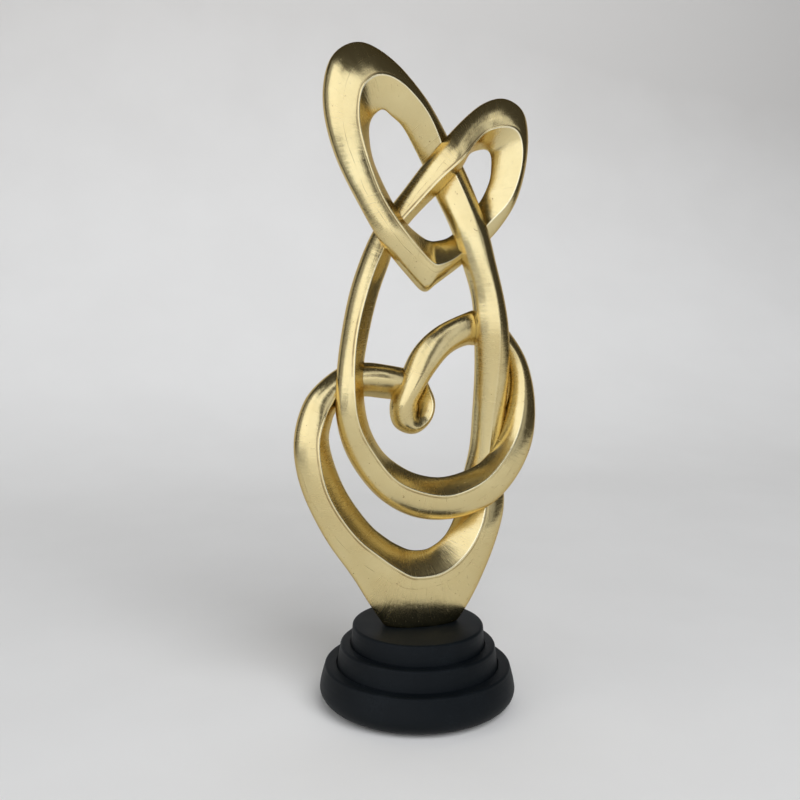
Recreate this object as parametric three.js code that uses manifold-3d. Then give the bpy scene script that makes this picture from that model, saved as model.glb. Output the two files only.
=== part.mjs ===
// Heart sculpture: a gilded ribbon woven into an upper and a lower heart, on a stepped plinth.
// Millimetres, +Z up. The figure lies along the XZ plane and its front looks along -Y.
// The origin is on the plinth's axis, on the underside of the felt pad.
import * as THREE from 'three';
import { mergeVertices } from 'three/addons/utils/BufferGeometryUtils.js';
import Module from 'manifold-3d';

const wasm = await Module();
wasm.setup();

// Fits
const SEAT_GAP = 0.3;            // between two pieces that seat on each other
const HOLE_CLEARANCE = 0.3;      // all round a pin, stud or washer in its hole

// Felt pad and plinth, three turned discs stacked on one stud
const FELT_RADIUS = 47;
const FELT_THICKNESS = 1.5;
const LOWER_FLOOR_RADIUS = 50;   // lower disc where its rounded edge reaches the underside
const LOWER_WIDE_RADIUS = 60;
const LOWER_WIDE_HEIGHT = 9;     // of the widest place above the underside
const LOWER_TOP_RADIUS = 57;
const LOWER_HEIGHT = 23.5;
const MIDDLE_BOTTOM_RADIUS = 49.5;
const MIDDLE_TOP_RADIUS = 47.5;
const MIDDLE_HEIGHT = 12.7;      // standing above the lower disc
const UPPER_BOTTOM_RADIUS = 41;
const UPPER_TOP_RADIUS = 40;
const UPPER_HEIGHT = 12.4;       // standing above the middle disc
const RIM_ROUNDING = 1.6;
const SOCKET_DEPTH = 2;          // how deep each disc sits in the one below
const SOCKET_GROOVE = 0.6;       // shadow line round a seated disc

// Stud, nut and washer that hold the figure down, and the pin that stops it turning
const STUD_DIAMETER = 8;
const STUD_GRIP = 24;            // length inside the foot
const STUD_TAIL = 1.2;           // length past the nut
const NUT_ACROSS_FLATS = 13;
const NUT_HEIGHT = 6.5;
const WASHER_DIAMETER = 24;
const WASHER_THICKNESS = 2;
const NUT_POCKET_DEPTH = 12;
const TURN_PIN_DIAMETER = 4;
const TURN_PIN_GRIP = 8;         // length in the foot, and again in the upper disc
const TURN_PIN_OFFSET = 15;      // from the plinth's axis

// Dowels inside the ribbon's joints
const DOWEL_DIAMETER = 4;
const DOWEL_LENGTH = 18;
const BAR_DOWEL_LENGTH = 14;

// Ribbon
const FIGURE_HEIGHT = 342;       // above the plinth
const FIGURE_WIDTH = 148.5;
const RIBBON_DEPTH = 27;         // front to back where the ribbon is widest
const DEPTH_REACH = 11;          // width over which a narrow stretch gains its depth
const WEAVE = 6.5;               // how far a stretch leaves the middle plane to pass another
const CROWN = 2.2;               // exponent of the rounding from the outer edge to the ridge
const FACE_FALL = 0.5;           // slope of that face, steeper where it is narrow
const BEVEL = 0.8;               // exponent of the fall from the ridge to the inner edge
const RINGS_PER_CUT = 3;
const OUTER_STEPS = 4;
const INNER_STEPS = 3;

// The ribbon runs in one line from the tip of the scroll to the end of the link bar. It is given
// by cuts across it, chosen by hand: outer edge x, z, inner edge x, z, place of the ridge as a
// share of the way in, layer (1 passes under, -1 passes over), crease (1 crisp, 0 round).
// Heights start at the underside of the foot, and the drawing is stretched to the figure's height
// and width. Each casting but the last ends at a joint, the last cut of its list, where another
// stretch passes in front, and the next one goes on there.
const STRETCHES = {
  scroll: [
    [4.6, 148.5, 0.9, 146.4, 0.4, 0.2, 0.4],
    [8.8, 137, -2.7, 138, 0.28, 0, 0.8],
    [6, 125, -2.4, 134.2, 0.33, 0, 0.7],
    [-4.6, 117.8, -2.6, 131.2, 0.42, -0.2, 0.3],
    [-16.8, 123.2, -3.3, 133, 0.45, -0.4, 0],
    [-20, 136.8, -3.5, 138.5, 0.4, -0.8, 0],
    [-15.5, 150, -0.5, 145.4, 0.5, -1, 0],
    [-6.4, 168, 7.8, 155.2, 0.64, -0.6, 0],
    [7.4, 181.2, 17.8, 164.2, 0.7, -0.1, 0],
    [25.8, 190.2, 28.5, 169, 0.68, 0.45, 0],
    [44, 190.5, 44, 168.5, 0.6, 1, 0.1],
  ],
  cradle: [
    [57, 176.9, 51, 160.5, 0.42, 0.9, 0.3],
    [67.4, 159.5, 55, 149, 0.45, 0.5, 0.3],
    [72.2, 136, 54.3, 132, 0.6, 0, 0.35],
    [69.6, 111.2, 49.5, 116.5, 0.71, -0.6, 0.8],
    [58.6, 89.6, 40.5, 103.5, 0.77, -1, 1],
    [42.2, 73, 30.5, 96.5, 0.73, -1, 1],
    [19, 65, 14, 91, 0.67, -0.5, 1],
    [-4.2, 66.9, -1, 92.8, 0.69, 0, 1],
    [-26.2, 80.4, -13.8, 99.7, 0.66, 0, 1],
    [-43.8, 104.4, -24.8, 110.2, 0.72, -0.2, 1],
    [-52, 129.6, -33.8, 129, 0.59, -0.8, 1],
    [-52, 155, -36.4, 156, 0.53, -1, 1],
    [-48.5, 179, -32.4, 179, 0.43, -0.6, 1],
    [-42.6, 203.4, -26, 201.2, 0.45, 0, 1],
    [-34, 225, -19, 217.6, 0.45, 0.6, 1],
    [-24.6, 241.9, -12.4, 233.6, 0.55, 1, 1],
  ],
  heart_right: [
    [-12, 258.5, 0.8, 250, 0.6, 0.5, 1],
    [-0.4, 275.3, 12, 263.2, 0.6, -0.4, 1],
    [10.5, 289, 20.7, 274.3, 0.71, -1, 1],
    [24, 302, 26.5, 281.8, 0.74, -0.5, 1],
    [36, 310.5, 33, 283.6, 0.63, 0, 1],
    [47.7, 313.3, 38.3, 284.2, 0.58, 0, 1],
    [58.9, 307.2, 41, 281.5, 0.45, 0, 1],
    [62.9, 293.8, 41.4, 275.3, 0.33, 0, 1],
    [62.1, 275.2, 40.6, 266.7, 0.3, 0, 1],
    [57.5, 255.3, 37.3, 257.6, 0.345, 0.2, 1],
    [49.3, 239.9, 34, 251, 0.48, 0.7, 1],
    [37.5, 226.6, 29, 243.5, 0.55, 1, 1],
  ],
  heart_left: [
    [22.7, 216.2, 17.5, 234, 0.44, 0.3, 1],
    [7.8, 206.2, 9, 231.7, 0.5, 0, 1],
    [1.5, 202, 4.5, 231.8, 0.6, 0, 1],
    [-6.2, 208.6, -0.9, 234.4, 0.66, -0.15, 1],
    [-26, 230.3, -12, 243, 0.74, -1, 1],
    [-39, 252.9, -21, 258.6, 0.69, -0.5, 1],
    [-50.5, 276.7, -29.2, 277.2, 0.76, 0, 1],
    [-57.4, 300, -31.8, 291.5, 0.7, 0, 1],
    [-57.7, 320, -31.3, 298.6, 0.65, 0, 1],
    [-51.4, 335.8, -28.6, 303, 0.575, 0, 1],
    [-36.3, 342, -24.5, 305.5, 0.52, 0, 1],
    [-18.8, 333.2, -18.5, 302.7, 0.385, 0, 1],
    [-3.5, 317.6, -12.6, 296.4, 0.32, 0, 1],
    [7.5, 304.2, -5.6, 286.5, 0.31, 0.5, 1],
    [19.8, 284.7, 3.7, 270.8, 0.42, 1, 1],
  ],
  stem: [
    [27.6, 268.6, 8, 258.7, 0.39, 0.4, 1],
    [37, 240.6, 15.7, 240, 0.37, -0.8, 1],
    [42.4, 220.2, 22.3, 220.5, 0.39, -1, 0.8],
    [47.6, 200, 28.6, 200, 0.43, -0.95, 0.8],
    [51.2, 180.5, 30.5, 180.5, 0.48, -1, 0.8],
    [54, 155, 33, 155, 0.53, -0.4, 0.6],
    [54, 125, 33.6, 125, 0.57, 0.4, 0.4],
    [54, 106, 33.2, 106, 0.59, 0.8, 0.5],
    [54.5, 88.5, 29.5, 87.5, 0.57, 1, 0.8],
  ],
  foot_casting: [
    [54.5, 72, 25, 68, 0.53, 0.5, 1],
    [50.7, 57, 19.4, 57.4, 0.54, 0, 1],
    [43.7, 34.8, 14, 51.2, 0.6, 0, 1],
    [30.6, 7.8, 8, 47.2, 0.71, 0, 1],
    [13, -12, 3, 45.6, 0.78, 0, 1],
    [-10, -13, -5, 46, 0.78, 0, 1],
    [-27.4, 8.8, -12.5, 48.4, 0.74, 0, 1],
    [-41.3, 32, -20.8, 53.1, 0.67, 0, 1],
    [-57.8, 56.5, -31.8, 64.2, 0.57, 0, 1],
    [-72, 87.3, -46.3, 86.9, 0.52, 0, 1],
    [-76.3, 115, -55.2, 113.2, 0.61, 0, 1],
    [-70.6, 138, -53, 126.5, 0.63, 0.2, 1],
    [-60.3, 150.6, -49.8, 131.5, 0.57, 0.6, 0.8],
    [-46, 159.8, -45.5, 137, 0.42, 1, 0.3],
  ],
  link_bar: [
    [-33.5, 161.6, -33.5, 140, 0.45, 0.6, 0.1],
    [-21.5, 160.2, -21.5, 138.4, 0.45, 0.4, 0],
    [-9.5, 157.6, -9, 136.8, 0.45, 0.4, 0],
  ],
};

// Stretches that pass in front of others, first and last cut counted in their casting
const FRONTS = {
  of_lobe: { casting: 'cradle', from: 10, to: 14 },
  of_leg: { casting: 'cradle', from: 3, to: 9 },
  of_cradle: { casting: 'heart_left', from: 4, to: 8 },
  of_stem: { casting: 'heart_right', from: 1, to: 5 },
  of_tip: { casting: 'stem', from: 1, to: 4 },
  of_scroll: { casting: 'stem', from: 4, to: 7 },
  of_bar: { casting: 'scroll', from: 3, to: 9 },
};

// Levels of the stack
const LOWER_BASE = FELT_THICKNESS + SEAT_GAP;
const LOWER_TOP = LOWER_BASE + LOWER_HEIGHT;
const MIDDLE_TOP = LOWER_TOP + MIDDLE_HEIGHT;
const PLINTH_TOP = MIDDLE_TOP + UPPER_HEIGHT;
const FOOT_BASE = PLINTH_TOP + SEAT_GAP;
const POCKET_TOP = LOWER_BASE + NUT_POCKET_DEPTH;
const WASHER_BASE = POCKET_TOP - SEAT_GAP - WASHER_THICKNESS;
const NUT_BASE = WASHER_BASE - SEAT_GAP - NUT_HEIGHT;
const STUD_HOLE_RADIUS = STUD_DIAMETER / 2 + HOLE_CLEARANCE;
const POCKET_RADIUS = WASHER_DIAMETER / 2 + HOLE_CLEARANCE;

const UP = new THREE.Vector3(0, 0, 1);
const BACK = new THREE.Vector3(0, 1, 0);

// Solids

function solidOf(geometry) {
  const bare = new THREE.BufferGeometry();
  bare.setAttribute('position', geometry.getAttribute('position'));
  bare.setIndex(geometry.getIndex());
  const welded = mergeVertices(bare, 1e-4);
  const corners = welded.getIndex().array;
  const triVerts = [];
  for (let i = 0; i < corners.length; i += 3) {
    const [a, b, c] = corners.slice(i, i + 3);
    if (a !== b && b !== c && c !== a) {
      triVerts.push(a, b, c);
    }
  }
  const surface = {
    numProp: 3,
    vertProperties: new Float32Array(welded.getAttribute('position').array),
    triVerts: new Uint32Array(triVerts),
  };
  const solid = new wasm.Manifold(new wasm.Mesh(surface));
  if (solid.volume() > 0) {
    return solid;
  }
  surface.triVerts.reverse();
  return new wasm.Manifold(new wasm.Mesh(surface));
}

function geometryOf(solid) {
  const { vertProperties, triVerts } = solid.getMesh();
  const geometry = new THREE.BufferGeometry();
  geometry.setAttribute('position', new THREE.BufferAttribute(vertProperties, 3));
  geometry.setIndex(new THREE.BufferAttribute(triVerts, 1));
  geometry.computeVertexNormals();
  return geometry;
}

const cut = (solid, ...tools) => tools.reduce((rest, tool) => rest.subtract(tool), solid);

function column(radius, low, high, x = 0, sides = 24) {
  const geometry = new THREE.CylinderGeometry(radius, radius, high - low, sides);
  geometry.rotateX(Math.PI / 2);
  geometry.translate(x, 0, (low + high) / 2);
  return solidOf(geometry);
}

function rod(middle, direction, length, radius) {
  const geometry = new THREE.CylinderGeometry(radius, radius, length, 12);
  const turn = new THREE.Quaternion();
  turn.setFromUnitVectors(new THREE.Vector3(0, 1, 0), direction);
  geometry.applyQuaternion(turn);
  geometry.translate(middle.x, middle.y, middle.z);
  return solidOf(geometry);
}

function turned(outline, sides = 48) {
  const closed = [...outline, outline[0]];
  const points = closed.map(([radius, height]) => new THREE.Vector2(radius, height));
  const geometry = new THREE.LatheGeometry(points, sides);
  geometry.rotateX(Math.PI / 2);
  return solidOf(geometry);
}

function arc(degrees) {
  return degrees.map((angle) => THREE.MathUtils.degToRad(angle));
}

// Plinth

function roundedRim(radius, height) {
  const [x, y] = [radius - RIM_ROUNDING, height - RIM_ROUNDING];
  return arc([0, 30, 60, 90]).map((a) => [
    x + RIM_ROUNDING * Math.cos(a),
    y + RIM_ROUNDING * Math.sin(a),
  ]);
}

function socket(radius, top) {
  const wall = radius + SOCKET_GROOVE;
  return [[wall, top], [wall, top - SOCKET_DEPTH]];
}

function lowerDisc() {
  const bulge = LOWER_WIDE_RADIUS - LOWER_FLOOR_RADIUS;
  return turned([
    [POCKET_RADIUS, LOWER_BASE],
    ...arc([0, 22.5, 45, 67.5, 90]).map((a) => [
      LOWER_FLOOR_RADIUS + bulge * Math.sin(a),
      LOWER_BASE + LOWER_WIDE_HEIGHT * (1 - Math.cos(a)),
    ]),
    ...roundedRim(LOWER_TOP_RADIUS, LOWER_TOP),
    ...socket(MIDDLE_BOTTOM_RADIUS, LOWER_TOP),
    [STUD_HOLE_RADIUS, LOWER_TOP - SOCKET_DEPTH],
    [STUD_HOLE_RADIUS, POCKET_TOP],
    [POCKET_RADIUS, POCKET_TOP],
  ]);
}

function middleDisc() {
  const base = LOWER_TOP - SOCKET_DEPTH + SEAT_GAP;
  return turned([
    [STUD_HOLE_RADIUS, base],
    [MIDDLE_BOTTOM_RADIUS, base],
    ...roundedRim(MIDDLE_TOP_RADIUS, MIDDLE_TOP),
    ...socket(UPPER_BOTTOM_RADIUS, MIDDLE_TOP),
    [STUD_HOLE_RADIUS, MIDDLE_TOP - SOCKET_DEPTH],
  ]);
}

function upperDisc() {
  const base = MIDDLE_TOP - SOCKET_DEPTH + SEAT_GAP;
  const disc = turned([
    [STUD_HOLE_RADIUS, base],
    [UPPER_BOTTOM_RADIUS, base],
    ...roundedRim(UPPER_TOP_RADIUS, PLINTH_TOP),
    [STUD_HOLE_RADIUS, PLINTH_TOP],
  ]);
  return cut(disc, turnPin(PLINTH_TOP, HOLE_CLEARANCE));
}

function stud() {
  return column(STUD_DIAMETER / 2, NUT_BASE - STUD_TAIL, FOOT_BASE + STUD_GRIP);
}

function turnPin(seat, clearance = 0) {
  const middle = new THREE.Vector3(TURN_PIN_OFFSET, 0, seat);
  return rod(middle, UP, 2 * (TURN_PIN_GRIP + clearance), TURN_PIN_DIAMETER / 2 + clearance);
}

function washer() {
  const top = WASHER_BASE + WASHER_THICKNESS;
  return turned([
    [STUD_HOLE_RADIUS, WASHER_BASE],
    [WASHER_DIAMETER / 2, WASHER_BASE],
    [WASHER_DIAMETER / 2, top],
    [STUD_HOLE_RADIUS, top],
  ], 32);
}

function nut() {
  const top = NUT_BASE + NUT_HEIGHT;
  const hexagon = column(NUT_ACROSS_FLATS / Math.sqrt(3), NUT_BASE, top, 0, 6);
  return cut(hexagon, column(STUD_HOLE_RADIUS, NUT_BASE - 1, top + 1));
}

// Ribbon: a section carried through all the cuts, each of its two edges one smooth curve

const path = [];
const reach = {};
for (const [name, cuts] of Object.entries(STRETCHES)) {
  const first = Math.max(path.length - 1, 0);
  path.push(...cuts);
  reach[name] = { first, last: path.length - 1 };
}

const drawn = new THREE.Box2().setFromPoints(path.map(([x, z]) => new THREE.Vector2(x, z)));
const wider = FIGURE_WIDTH / (drawn.max.x - drawn.min.x);
const taller = FIGURE_HEIGHT / drawn.max.y;
const stretched = (x, layer, z) => new THREE.Vector3(wider * x, WEAVE * layer, taller * z);

const curveOf = (place) => new THREE.CatmullRomCurve3(path.map(place), false, 'catmullrom', 0.5);
const outerEdge = curveOf(([x, z, , , , layer]) => stretched(x, layer, z));
const innerEdge = curveOf(([, , x, z, , layer]) => stretched(x, layer, z));
const sectionForm = curveOf(([, , , , ridge, , crease]) => new THREE.Vector3(ridge, crease, 0));
const at = (curve, index) => curve.getPoint(index / (path.length - 1));

const widthAt = (index) => at(outerEdge, index).distanceTo(at(innerEdge, index));
const middleAt = (index) => at(outerEdge, index).lerp(at(innerEdge, index), 0.5);
const halfDepthAt = (index) => (RIBBON_DEPTH / 2) * (1 - Math.exp(-widthAt(index) / DEPTH_REACH));

// Front half of the section as [share of the way in, share of the half depth]:
// a crowned face from the outer edge to the ridge, then a bevel down to the inner edge.
function frontOutline(ridge, crease) {
  const points = [[0, 0]];
  for (let i = 1; i < OUTER_STEPS; i++) {
    const angle = (i / OUTER_STEPS) * (Math.PI / 2);
    const left = Math.cos(angle) ** (2 / CROWN);
    const crown = Math.sin(angle) ** (2 / CROWN);
    points.push([ridge * (1 - left), crown * (1 - FACE_FALL * (1 - ridge) * left)]);
  }
  points.push([ridge, 1]);
  for (let i = 1; i < INNER_STEPS; i++) {
    const run = Math.sin((i / INNER_STEPS) * (Math.PI / 2));
    const fall = crease * (1 - run) ** BEVEL + (1 - crease) * Math.sqrt(1 - run * run);
    points.push([ridge + (1 - ridge) * run, fall]);
  }
  points.push([1, 0]);
  return points;
}

function ribbonRing(index, grow) {
  const outer = at(outerEdge, index);
  const across = at(innerEdge, index).sub(outer);
  const form = at(sectionForm, index);
  const halfDepth = halfDepthAt(index) + grow;
  const margin = grow / across.length();
  outer.addScaledVector(across, -margin);
  across.multiplyScalar(1 + 2 * margin);
  const front = frontOutline(form.x, form.y);
  const back = front.slice(1, -1).reverse();
  const place = ([share, rise], side) => {
    const point = outer.clone().addScaledVector(across, share);
    return point.addScaledVector(BACK, side * rise * halfDepth);
  };
  return [...front.map((p) => place(p, -1)), ...back.map((p) => place(p, 1))];
}

function ribbonRings(first, last, grow = 0) {
  const count = (last - first) * RINGS_PER_CUT;
  return Array.from({ length: count + 1 }, (_, i) => ribbonRing(first + i / RINGS_PER_CUT, grow));
}

function centreOf(points) {
  const sum = new THREE.Vector3();
  points.forEach((point) => sum.add(point));
  return sum.divideScalar(points.length);
}

function skin(rings) {
  const around = rings[0].length;
  const last = rings.length - 1;
  const points = [...rings.flat(), centreOf(rings[0]), centreOf(rings[last])];
  const startCap = rings.length * around;
  const corners = [];
  for (let j = 0; j < around; j++) {
    const k = (j + 1) % around;
    for (let i = 0; i < last; i++) {
      const [a, b] = [i * around + j, i * around + k];
      corners.push(a, b, b + around, a, b + around, a + around);
    }
    corners.push(startCap, k, j);
    corners.push(startCap + 1, last * around + j, last * around + k);
  }
  const geometry = new THREE.BufferGeometry().setFromPoints(points);
  geometry.setIndex(corners);
  return solidOf(geometry);
}

// One casting, with its two ends drawn back by half a seat gap
function casting(name) {
  const rings = ribbonRings(reach[name].first, reach[name].last);
  const drawBack = (ring, next) => {
    const inward = centreOf(next).sub(centreOf(ring)).setLength(SEAT_GAP / 2);
    ring.forEach((point) => point.add(inward));
  };
  drawBack(rings.at(0), rings.at(1));
  drawBack(rings.at(-1), rings.at(-2));
  return skin(rings);
}

// The rooms that stretches take where they pass in front of others
const rooms = {};
for (const [name, { casting: title, from, to }] of Object.entries(FRONTS)) {
  const { first } = reach[title];
  rooms[name] = skin(ribbonRings(first + from, first + to, SEAT_GAP));
}

// Dowel along the ribbon at the end of a casting, midway between the back of the stretch
// that passes in front and the back of its own.
function jointDowel(name, clearance) {
  const { last } = reach[name];
  const direction = middleAt(last + 0.1).sub(middleAt(last - 0.1)).setY(0).normalize();
  const middle = middleAt(last).setY(halfDepthAt(last));
  return rod(middle, direction, DOWEL_LENGTH + 2 * clearance, DOWEL_DIAMETER / 2 + clearance);
}

// Dowel from front to back, where the end of the link bar lies behind the scroll
function barDowel(clearance) {
  const { last } = reach.link_bar;
  const crossing = reach.scroll.first + 6;
  const middle = middleAt(last - 0.25).setY(middleAt(crossing).y + halfDepthAt(crossing));
  return rod(middle, BACK, BAR_DOWEL_LENGTH + 2 * clearance, DOWEL_DIAMETER / 2 + clearance);
}

const DOWELS = {
  scroll_dowel: (clearance) => jointDowel('scroll', clearance),
  cradle_dowel: (clearance) => jointDowel('cradle', clearance),
  tip_dowel: (clearance) => jointDowel('heart_right', clearance),
  stem_dowel: (clearance) => jointDowel('heart_left', clearance),
  leg_dowel: (clearance) => jointDowel('stem', clearance),
  lobe_dowel: (clearance) => jointDowel('foot_casting', clearance),
  bar_dowel: barDowel,
};
const hole = (name) => DOWELS[name](HOLE_CLEARANCE);

// Castings, hollowed to the shape of the stretches that pass in front of them

function footCasting() {
  return cut(
    casting('foot_casting').trimByPlane(UP.toArray(), 0),
    rooms.of_lobe,
    rooms.of_leg,
    hole('lobe_dowel'),
    hole('leg_dowel'),
    column(STUD_HOLE_RADIUS, -1, STUD_GRIP + HOLE_CLEARANCE),
    turnPin(0, HOLE_CLEARANCE),
  );
}

function linkBar() {
  const holes = [hole('lobe_dowel'), hole('bar_dowel')];
  return cut(casting('link_bar'), rooms.of_lobe, rooms.of_bar, ...holes);
}

function scroll() {
  const holes = [hole('scroll_dowel'), hole('bar_dowel')];
  return cut(casting('scroll'), rooms.of_scroll, ...holes);
}

function cradle() {
  const holes = [hole('scroll_dowel'), hole('cradle_dowel')];
  return cut(casting('cradle'), rooms.of_scroll, rooms.of_cradle, ...holes);
}

function heartRight() {
  const holes = [hole('cradle_dowel'), hole('tip_dowel')];
  return cut(casting('heart_right'), rooms.of_cradle, rooms.of_tip, ...holes);
}

function heartLeft() {
  const holes = [hole('tip_dowel'), hole('stem_dowel')];
  return cut(casting('heart_left'), rooms.of_tip, rooms.of_stem, ...holes);
}

function stem() {
  const holes = [hole('stem_dowel'), hole('leg_dowel')];
  return cut(casting('stem'), rooms.of_stem, rooms.of_leg, ...holes);
}

// Scene graph

const GILDING = { color: 0xc8ae62, metalness: 1, roughness: 0.24 };
const LACQUER = { color: 0x101113, metalness: 0, roughness: 0.35 };
const STEEL = { color: 0xb6babd, metalness: 1, roughness: 0.4 };
const FELT = { color: 0x1d211e, metalness: 0, roughness: 0.95 };

function piece(name, solid, finish) {
  const mesh = new THREE.Mesh(geometryOf(solid), new THREE.MeshStandardMaterial(finish));
  mesh.name = name;
  return mesh;
}

const plinth = new THREE.Group();
plinth.add(
  piece('felt_pad', column(FELT_RADIUS, 0, FELT_THICKNESS, 0, 48), FELT),
  piece('plinth_lower_disc', lowerDisc(), LACQUER),
  piece('plinth_middle_disc', middleDisc(), LACQUER),
  piece('plinth_upper_disc', upperDisc(), LACQUER),
  piece('stud', stud(), STEEL),
  piece('washer', washer(), STEEL),
  piece('nut', nut(), STEEL),
  piece('turn_pin', turnPin(PLINTH_TOP + SEAT_GAP / 2), STEEL),
);

const figure = new THREE.Group();
figure.position.z = FOOT_BASE;
figure.add(
  piece('foot_casting', footCasting(), GILDING),
  piece('link_bar', linkBar(), GILDING),
  piece('scroll', scroll(), GILDING),
  piece('cradle', cradle(), GILDING),
  piece('heart_right', heartRight(), GILDING),
  piece('heart_left', heartLeft(), GILDING),
  piece('stem', stem(), GILDING),
);
for (const [name, dowel] of Object.entries(DOWELS)) {
  figure.add(piece(name, dowel(0), STEEL));
}

const sculpture = new THREE.Group();
sculpture.add(plinth, figure);

export default sculpture;
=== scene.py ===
"""Heart sculpture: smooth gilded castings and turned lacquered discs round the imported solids.

Metres, +Z up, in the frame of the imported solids: the figure's front looks along -Y.
"""

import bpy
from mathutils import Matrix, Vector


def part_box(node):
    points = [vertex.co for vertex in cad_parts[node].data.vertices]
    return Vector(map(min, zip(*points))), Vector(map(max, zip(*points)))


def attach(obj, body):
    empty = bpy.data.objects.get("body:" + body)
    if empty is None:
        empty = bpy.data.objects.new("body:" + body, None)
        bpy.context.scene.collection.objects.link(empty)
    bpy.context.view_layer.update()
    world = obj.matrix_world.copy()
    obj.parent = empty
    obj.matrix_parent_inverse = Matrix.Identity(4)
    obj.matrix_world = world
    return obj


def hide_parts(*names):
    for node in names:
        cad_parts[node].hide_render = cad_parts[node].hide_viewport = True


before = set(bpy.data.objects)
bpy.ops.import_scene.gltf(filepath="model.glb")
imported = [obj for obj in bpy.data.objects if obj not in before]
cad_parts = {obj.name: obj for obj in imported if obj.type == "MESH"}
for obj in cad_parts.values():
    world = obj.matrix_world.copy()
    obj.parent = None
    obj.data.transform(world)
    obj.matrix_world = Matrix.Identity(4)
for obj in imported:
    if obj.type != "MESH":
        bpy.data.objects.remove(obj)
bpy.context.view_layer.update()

import math

import bmesh
import bpy
import numpy as np
from bpy.props import FloatProperty, FloatVectorProperty, IntProperty, PointerProperty
from bpy.types import Operator, Panel, PropertyGroup
from mathutils import Matrix, Vector

bl_info = {
    "name": "Heart Sculpture",
    "version": (1, 0, 0),
    "blender": (4, 5, 0),
    "location": "3D View > Sidebar > Sculpture",
    "description": "A gilded woven heart on a stepped black plinth",
    "category": "Add Mesh",
}

MM = 0.001

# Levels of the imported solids: the plinth's top, and the lowest point of the foot
FOOT_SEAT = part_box("plinth_upper_disc")[1].z
FOOT_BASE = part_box("foot_casting")[0].z

# UV maps of the castings: metres along and round the strand, and the bead's share of its height
STRAND_MAP = "along_and_round"
BEAD_MAP = "bead_share"

# Angles in degrees past which an edge stays sharp
CASTING_SHARP, TURNED_SHARP, PAPER_SHARP = 42, 35, 60
# Edges shorter than this are dissolved after a cut
SLIVER = 0.002 * MM
# Averaging along the ribbon's edges: places, and bell widths from the middle to the last place
BELL_PLACES, BELL_REACH = 13, 2.4
# Range of the ridge's place, and the least softness of the joint at the ridge
RIDGE_LOW, RIDGE_HIGH, LEAST_SOFTNESS = 0.1, 0.9, 1e-6
# Spacing of the points down the inner wall: past 1, they lie closer together at the ridge
WALL_SPACING = 1.4
# Groove outside the bead: depth in bead heights, and way from the bead in bead widths
GROOVE_SHARE, GROOVE_WAY = 0.45, 2
# Half round at the ribbon's first end: rings, and where its quarter turn starts
TIP_RINGS, TIP_START = 7, 0.06
# Roundings above the seat past which the foot's wall is left as it is
FOOT_TURN = 8
# Holes for pins: sides, digits that tell points apart, lean to Y past which X sets out the sides
PIN_SIDES, POINT_DIGITS, ALONG_Y = 24, 7, 0.9
# Turned pieces: longest side of an outline, steps of its curves, hollow of the lower disc's wall
TURNED_SIDE = 4 * MM
RIM_STEPS, BULGE_STEPS, WALL_STEPS = 8, 14, 12
WALL_HOLLOW = 1.35
SOCKET_LIP = 0.25 * MM
# Felt: rounding and inset of its edge, hole in its middle, steps of the rounding
FELT_ROUNDING, FELT_INSET, FELT_CORE, FELT_STEPS = 0.5 * MM, 0.2 * MM, 0.5 * MM, 5
# Backdrop paper: sides in front, depth past which they spread, front edge and wall, bend, height
PAPER_SIDES, PAPER_FAN = (-0.50, 0.76), 0.50
PAPER_DEPTHS, PAPER_BEND, PAPER_HEIGHT, BEND_STEPS = (-0.80, 1.30), 0.78, 0.86, 40
# Camera: sensor in millimetres, near limit in metres
SENSOR_WIDTH, NEAR_LIMIT = 36, 0.01
# Colour inputs and output of a mix node, by number
MIX_FIRST, MIX_SECOND, MIX_RESULT = 6, 7, 2

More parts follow.
